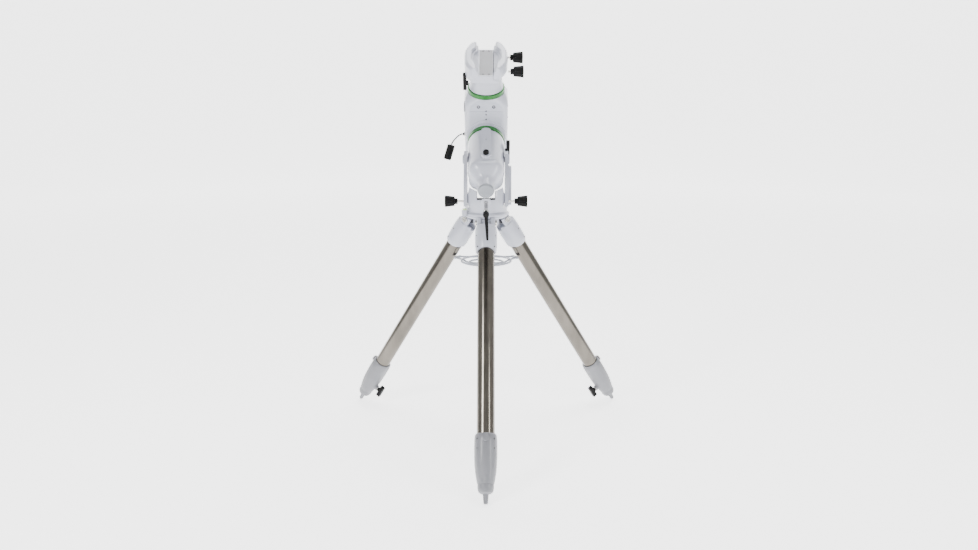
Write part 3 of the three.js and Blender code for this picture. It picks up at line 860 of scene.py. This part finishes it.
def make_housing_screws():
    face = AXES @ Matrix.Rotation(math.pi / 2, 4, "X")
    spots = ((-24, 116, 5.4), (24, 116, 5.4), (0, 101, 2.2), (0, 88, 2.2), (0, 70, 2.2))
    for k, (x, w, size) in enumerate(spots):
        screw(f"cover_screw_{k}", moved(face, (x, w, 49.4)), "polar_axis", size)
    for k, (x, u) in enumerate(((-57, -26), (57, -26), (-57, 46), (57, 46))):
        screw(f"shoulder_screw_{k}", moved(AXES, (x, u, 130)), "polar_axis", 4.2)
    for k, w in enumerate((104, 60, 20, -40)):
        screw(f"side_screw_{k}", moved(AXES, (69, -22, w), "Y", 90), "polar_axis", 3)


def make_declination_clutch():
    """The clutch lever, which lies along the declination axis."""
    place = placed(joint_place("declination_clutch_turn"), joint_axis("declination_turn"), (-1, 0, 0))
    outline = [(-20, -7), (30, -9), (34, -5), (34, 5), (30, 9), (-20, 7), (-24, 3), (-24, -3)]
    lever = prism("declination_lever", outline, 5.6, 16.6, place, BLACK, 2.4, 4)
    hub = turned("hub", [(8, 0), (8, 7)], place, BLACK, 0, 48)
    joined(lever, hub)
    stands_for(softened(lever, 0.6), "declination_clutch_lever", "black", "declination_clutch_lever")


def make_declination():
    make_declination_housing()
    make_housing_screws()
    vent = ring("side_arc", 17, 14, 68, 69.8, moved(AXES, (0, -24, 102), "Y", -90), FINISH["dark"], 0.2, 72)
    stands_for(vent, "polar_axis", "black")
    circle = ring("declination_circle", 58, CIRCLE_BORE, 147, 160, AXES, FINISH["green"], 1.2, 144)
    stands_for(circle, "declination_circle", "green", "declination_setting_circle")
    profile = [(54, 160.3), (54, 163), (51.5, 170), (50, 180), (49.4, 212), (48, 217.6)]
    neck = turned("neck", profile, AXES, WHITE, 0, 96)
    inside = turned("inside", [(25, 150), (25, 230)], AXES, WHITE, 0)
    joined(neck, inside, cut=True)
    stands_for(softened(neck, 1.0), "declination_axis", "white", "saddle_neck")
    make_declination_clutch()


def saddle_edges():
    """(u, outer edge, gripping edge) along the saddle: both edges bow outwards in the middle."""
    return ((80, 43, 24), (76, 47, 24), (62, 56, 25), (46, 62, 27), (38, 64, 33), (26, 65.5, 38), (0, 66, 39),
            (-22, 65.5, 38), (-36, 64, 33), (-46, 62, 28), (-62, 56, 25), (-76, 47, 24), (-80, 42, 24))


def saddle_bed_section(outer, grip):
    return [(-outer, 5), (6 - outer, 0), (40, 0), (40, 12), (22, 12), (22, 25), (-23, 25), (-grip, 32),
            (-grip, 38), (-grip - 5, 40), (-grip - 5, 47), (-grip - 8, 52), (6 - outer, 52), (-outer, 44)]


def saddle_jaw_section(outer, grip):
    return [(22.3, 12.3), (outer - 4, 12.3), (outer, 18), (outer, 43), (outer - 6, 53), (grip + 8, 53),
            (grip + 5, 47), (grip + 5, 40), (grip, 38), (grip, 32), (22.3, 25)]


def make_saddle():
    matrix = moved(AXES, (0, 0, SADDLE_BOTTOM)) @ Matrix.Rotation(math.pi / 2, 4, "X")
    bed_sections = [(saddle_bed_section(outer, grip), -u) for u, outer, grip in saddle_edges()]
    jaw_sections = [(saddle_jaw_section(outer, grip), -u) for u, outer, grip in saddle_edges()]
    bed = loft("saddle_bed", bed_sections, matrix, WHITE)
    jaw = loft("sliding_jaw", jaw_sections, matrix, WHITE)
    stands_for(softened(bed, 1.6, 4, 30), "declination_axis", "white", "saddle_plate")
    stands_for(softened(jaw, 1.6, 4, 30), "saddle_jaw", "white", "saddle_jaw")
    # The channel's floor takes the darker copy of the white enamel: painted shade in the recess.
    floor = prism("channel_floor", rounded(40, 150, 4), 242.8, 243.4, AXES, PALE, 0.2)
    stands_for(floor, "declination_axis", "white")
    # A dark strip in the gap between the jaw and the bed: painted shadow.
    shade_strip = prism("jaw_gap_shade", rounded(1.6, 118, 0.7, (22.2, 0)), 238, 243.8, AXES, FINISH["shade_black"], 0.1)
    stands_for(shade_strip, "declination_axis", "black")
    for k, (x, u) in enumerate(((-9, -70), (9, -70), (-9, 70), (9, 70))):
        screw(f"saddle_screw_{k}", moved(AXES, (x, u, 243.2)), "declination_axis", 3.4)
    for name in ("upper", "lower"):
        pivot = joint_place(f"saddle_knob_{name}_turn")
        axis = placed(pivot, joint_axis("declination_turn"), (1, 0, 0))
        knob_piece(f"saddle_grip_{name}", axis, f"saddle_knob_{name}", f"saddle_knob_{name}", 7)


def make_counterweight():
    """The bar that takes the weights, its end stop and its lock ring."""
    bar = turned("weight_bar", [(9, -127.8), (9, 118), (8, 120)], AXES, BRIGHT, 0.4, 64)
    stands_for(bar, "counterweight_shaft", "steel", "counterweight_shaft")
    profile = [(15, -142), (17, -140), (17, -130), (15.5, -128.4)]
    stop = turned("weight_stop", profile, AXES, FINISH["grey"], 0.6, 96, 30, 0.03)
    stands_for(stop, "counterweight_shaft", "grey", "counterweight_stop")
    profile = [(25, -120), (26, -119), (29.6, -92), (29.6, -88.5)]
    collar = turned("lock_ring", profile, AXES, BLACK, 0, 96, 12, 0.06)
    hole = turned("hole", [(9.8, -130), (9.8, -60)], AXES, BLACK, 0, 48)
    joined(collar, hole, cut=True)
    stands_for(softened(collar, 0.6), "shaft_lock_collar", "black", "shaft_lock_collar")


def dress_cad_nodes():
    """The pieces that stay as CAD solids get their finishes."""
    looks = {
        "tripod_centre_rod": "bright", "polar_scope": "black", "polar_axis_shaft": "bright",
        "polar_worm_wheel": "brass", "polar_bearing_front": "bright", "polar_motor": "black",
        "polar_worm": "bright", "control_board": "board", "declination_shaft": "bright",
        "declination_worm_wheel": "brass", "declination_bearing_upper": "bright",
    }
    for node, finish in looks.items():
        piece = frame["nodes"][node]
        for k in range(len(piece.material_slots)):
            piece.material_slots[k].material = FINISH[finish]


make_tripod()
make_base()
make_polar()
make_declination()
make_saddle()
make_counterweight()
dress_cad_nodes()
